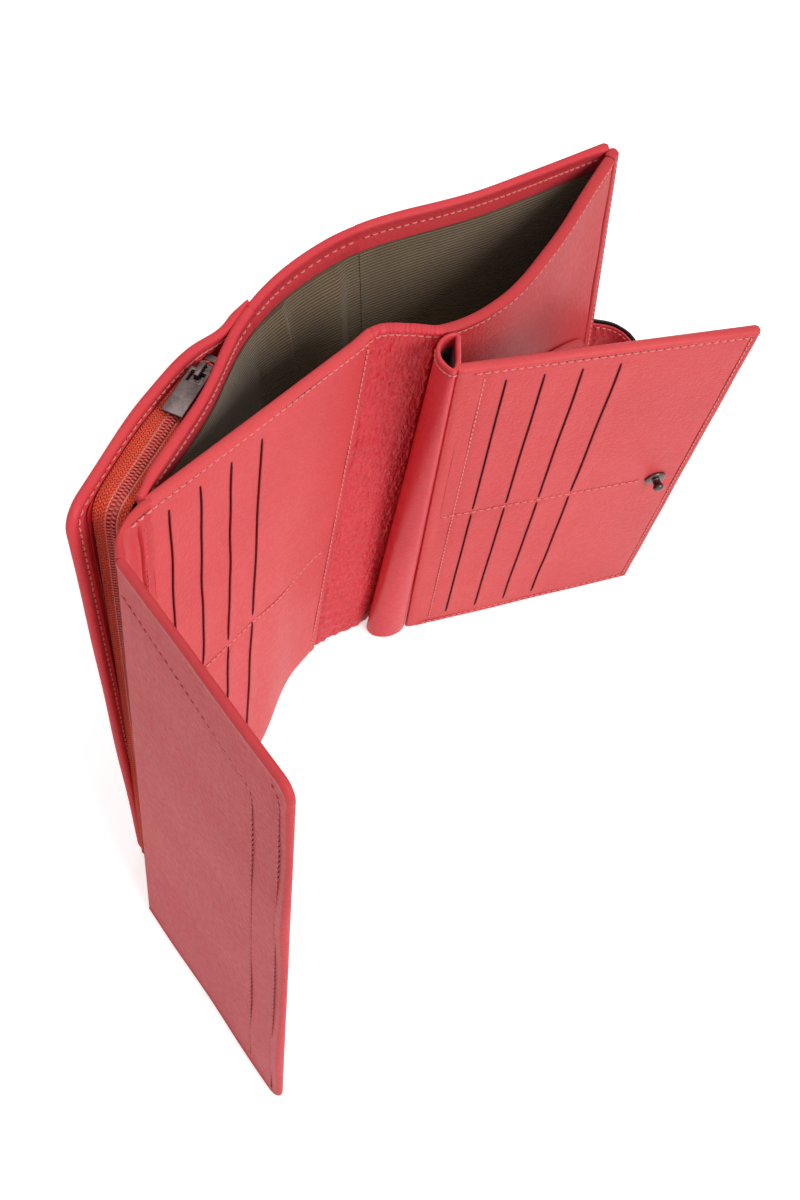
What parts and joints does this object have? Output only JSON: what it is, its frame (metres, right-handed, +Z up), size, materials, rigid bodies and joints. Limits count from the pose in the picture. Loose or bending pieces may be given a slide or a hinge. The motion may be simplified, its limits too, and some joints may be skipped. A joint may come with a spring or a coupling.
{
  "type": "travel wallet",
  "caption": "Upright folding leather travel wallet with note compartment, zip pocket, card pages, hinged card leaf with snap stud, pen loop, fold-over flap and closing strap.",
  "frame": {"origin": "middle of the base that it stands on, under the middle of its bounding box", "axes": "+Z up along the wallet's height; +X to the right and +Y away from the front, where the flap and the leaf open"},
  "size_m": [0.1946, 0.301, 0.195],
  "materials": {
    "leather": "smooth semi-gloss coral red leather",
    "card_leather": "smooth coral red leather",
    "back_leather": "smooth red leather",
    "flap_leather": "smooth rose red leather, soft sheen",
    "wall_leather": "matt rose leather",
    "spine_leather": "soft creased red leather",
    "grosgrain": "ribbed taupe cloth",
    "pocket_cloth": "dark taupe pocket cloth",
    "zip_tape": "woven orange red tape",
    "zip_coil": "nylon coil",
    "gunmetal": "dark gunmetal plating"
  },
  "bodies": {
    "left_half": {"left_card_panel": "card_leather", "left_upper_pockets": "pocket_cloth", "left_lower_pockets": "pocket_cloth", "left_page_lining": "grosgrain", "divider_lining": "grosgrain", "divider_panel": "back_leather", "left_outer_lining": "wall_leather", "left_outer_cover": "leather", "spine_lining": "grosgrain", "spine_cover": "leather", "inner_spine_strip": "spine_leather", "inner_spine_lining": "grosgrain", "zip_tape_outer": "zip_tape", "zip_tape_inner": "zip_tape", "zip_coil": "zip_coil", "zip_top_stop": "gunmetal", "zip_end_stop": "gunmetal"},
    "right_half": {"right_cover_lining": "grosgrain", "right_back_cover": "back_leather", "right_inner_lining": "grosgrain", "right_slip_panel": "wall_leather", "right_edge_border": "wall_leather", "right_slip_pocket": "wall_leather", "pen_loop": "spine_leather", "pen_loop_lining": "pocket_cloth", "strap_base": "leather"},
    "leaf": {"leaf_card_panel": "card_leather", "leaf_upper_pockets": "pocket_cloth", "leaf_lower_pockets": "pocket_cloth", "leaf_back_panel": "leather", "leaf_hinge_strip": "leather", "snap_stud": "gunmetal", "stud_washer": "gunmetal"},
    "flap": {"flap_outer": "flap_leather", "flap_inner": "leather", "flap_pocket": "card_leather", "flap_bend": "flap_leather"},
    "strap": {"strap_bend": "leather", "strap_outer": "leather", "strap_inner": "leather", "snap_socket": "gunmetal", "snap_cap": "gunmetal"},
    "slider": {"zip_slider": "gunmetal", "zip_slider_lower_plate": "gunmetal"},
    "pull": {"zip_pull": "gunmetal"}
  },
  "joints": [
    {"name": "spine_fold", "type": "hinge", "parent": "left_half", "child": "right_half", "pos_m": [-0.011, 0.02789, 0], "axis": [0, 0, 1], "range_deg": [-125, 8], "deforming": ["spine_cover", "spine_lining", "inner_spine_strip", "inner_spine_lining"]},
    {"name": "leaf_fold", "type": "hinge", "parent": "right_half", "child": "leaf", "pos_m": [0.00474, 0.0522, 0], "axis": [-0.0056, 0.1429, -0.9897], "range_deg": [-20, 105], "deforming": ["leaf_hinge_strip"]},
    {"name": "flap_fold", "type": "hinge", "parent": "left_half", "child": "flap", "pos_m": [-0.07193, -0.08169, 0], "axis": [-0.0444, 0.124, 0.9913], "range_deg": [-70, 75], "deforming": ["flap_bend"]},
    {"name": "strap_fold", "type": "hinge", "parent": "right_half", "child": "strap", "pos_m": [0.05351, 0.14585, 0.081], "axis": [0, 0, -1], "range_deg": [-20, 42], "deforming": ["strap_bend"]},
    {"name": "zip_slide", "type": "slide", "parent": "left_half", "child": "slider", "axis": [-0.2577, -0.9662, 0], "range_m": [0, 0.043]},
    {"name": "zip_pull_swing", "type": "hinge", "parent": "slider", "child": "pull", "pos_m": [-0.0719, 0.0052, 0.1932], "axis": [-0.9662, 0.2577, 0], "range_deg": [0, 90]}
  ]
}
